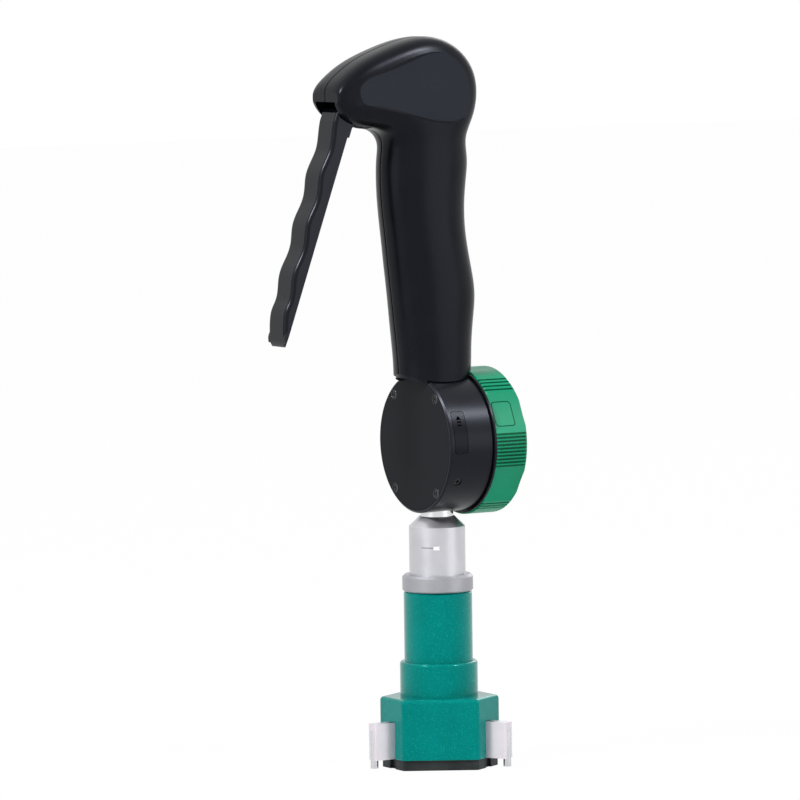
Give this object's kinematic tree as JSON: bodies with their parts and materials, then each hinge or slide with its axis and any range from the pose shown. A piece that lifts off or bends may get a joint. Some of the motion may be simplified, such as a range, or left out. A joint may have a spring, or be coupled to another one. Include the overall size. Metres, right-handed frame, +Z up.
{
  "type": "three-point bore gauge",
  "caption": "Pistol-grip three-point bore gauge with a squeeze lever, round digital display, stem and sliding contacts.",
  "frame": {"origin": "centre of the base plate's underside, on the gauge axis", "axes": "+Z up along the stem to the handle, +X towards the display's face, -X towards the trigger lever"},
  "size_m": [0.1005, 0.0604, 0.2995],
  "materials": {
    "black_plate": "black oxide, satin",
    "screw_steel": "darkened steel, satin",
    "teal_paint": "teal metallic gloss",
    "bronze": "turned bronze",
    "satin_steel": "satin turned",
    "polished_steel": "ground, bright",
    "black_metal": "black anodised, satin",
    "battery_steel": "bright",
    "inner_plastic": "moulded, matt",
    "spring_steel": "bright drawn",
    "circuit_board": "green laminate",
    "black_plastic": "fine satin grain",
    "hard_steel": "hardened and ground",
    "black_lever": "black, half gloss",
    "green_bezel": "green gloss",
    "face_plastic": "dark grey, matt",
    "window": "clear",
    "display_glass": "grey green liquid crystal",
    "button_rubber": "matt",
    "matt_steel": "blasted, light",
    "carbide": "ground carbide"
  },
  "bodies": {
    "frame": {"base_plate": "black_plate", "base_plate_screws": "screw_steel", "head_body": "teal_paint", "head_bush": "bronze", "head_collar": "satin_steel", "stem_sleeve": "satin_steel", "stem_tube": "polished_steel", "stem_bushes": "bronze", "stem_nut": "satin_steel", "display_housing": "black_metal", "back_cover": "black_metal", "back_cover_screws": "screw_steel", "side_screw": "screw_steel", "battery": "battery_steel", "battery_holder": "inner_plastic", "retaining_ring": "spring_steel", "sensor_board": "circuit_board", "grip_adapter": "black_metal", "adapter_nut": "satin_steel", "adapter_bush": "bronze", "grip_shell_left": "black_plastic", "grip_shell_right": "black_plastic", "grip_screws": "screw_steel", "guide_bush": "bronze", "trigger_pin": "polished_steel", "rod_spring": "spring_steel"},
    "lift_rod": {"cam_spindle": "hard_steel", "spindle_pin": "hard_steel", "pull_rod": "polished_steel", "scale_carrier": "satin_steel", "spring_collar": "satin_steel", "lift_yoke": "satin_steel", "yoke_pin": "hard_steel", "rod_nut": "screw_steel"},
    "trigger": {"trigger_lever": "black_lever"},
    "display": {"display_base": "black_metal", "bezel": "green_bezel", "face_plate": "face_plastic", "lens": "window", "lcd_module": "display_glass", "display_board": "circuit_board", "key_switches": "inner_plastic", "data_socket": "inner_plastic"},
    "battery_door": {"battery_door": "black_plastic"},
    "port_cover": {"port_cover": "green_bezel"},
    "contact_1": {"anvil_1": "matt_steel", "contact_pin_1": "carbide", "slide_pin_1": "hard_steel"},
    "button_1": {"button_1": "button_rubber"},
    "contact_2": {"anvil_2": "matt_steel", "contact_pin_2": "carbide", "slide_pin_2": "hard_steel"},
    "button_2": {"button_2": "button_rubber"},
    "contact_3": {"anvil_3": "matt_steel", "contact_pin_3": "carbide", "slide_pin_3": "hard_steel"},
    "button_3": {"button_3": "button_rubber"}
  },
  "joints": [
    {"name": "trigger_squeeze", "type": "hinge", "parent": "frame", "child": "trigger", "pos_m": [-0.038, 0, 0.2715], "axis": [0, -1, 0], "range_deg": [0, 20], "stiffness_Nm_per_rad": 0.6, "springref_deg": -20.05},
    {"name": "rod_lift", "type": "slide", "parent": "frame", "child": "lift_rod", "axis": [0, 0, 1], "range_m": [0, 0.00667], "deforming": ["rod_spring"]},
    {"name": "contact_1_slide", "type": "slide", "parent": "frame", "child": "contact_1", "axis": [-0.5, -0.866, 0], "range_m": [0, 0.008]},
    {"name": "contact_2_slide", "type": "slide", "parent": "frame", "child": "contact_2", "axis": [1, 0, 0], "range_m": [0, 0.008]},
    {"name": "contact_3_slide", "type": "slide", "parent": "frame", "child": "contact_3", "axis": [-0.5, 0.866, 0], "range_m": [0, 0.008]},
    {"name": "display_turn", "type": "hinge", "parent": "frame", "child": "display", "pos_m": [0, 0, 0.1331], "axis": [1, 0, 0], "range_deg": [-135, 135]},
    {"name": "button_1_press", "type": "slide", "parent": "display", "child": "button_1", "axis": [-1, 0, 0], "range_m": [0, 0.0008], "stiffness_N_per_m": 800, "springref_m": -0.0004},
    {"name": "button_2_press", "type": "slide", "parent": "display", "child": "button_2", "axis": [-1, 0, 0], "range_m": [0, 0.0008], "stiffness_N_per_m": 800, "springref_m": -0.0004},
    {"name": "button_3_press", "type": "slide", "parent": "display", "child": "button_3", "axis": [-1, 0, 0], "range_m": [0, 0.0008], "stiffness_N_per_m": 800, "springref_m": -0.0004},
    {"name": "battery_door_lift", "type": "slide", "parent": "frame", "child": "battery_door", "axis": [0, -0.9753, 0.2207], "range_m": [0, 0.015]},
    {"name": "port_cover_lift", "type": "slide", "parent": "display", "child": "port_cover", "axis": [0, -0.8988, 0.4384], "range_m": [0, 0.008]}
  ],
  "couplings": [
    {"joint": "rod_lift", "follows": "trigger_squeeze", "m_per_rad": 0.019103},
    {"joint": "contact_1_slide", "follows": "trigger_squeeze", "m_per_rad": 0.022918},
    {"joint": "contact_2_slide", "follows": "trigger_squeeze", "m_per_rad": 0.022918},
    {"joint": "contact_3_slide", "follows": "trigger_squeeze", "m_per_rad": 0.022918}
  ]
}
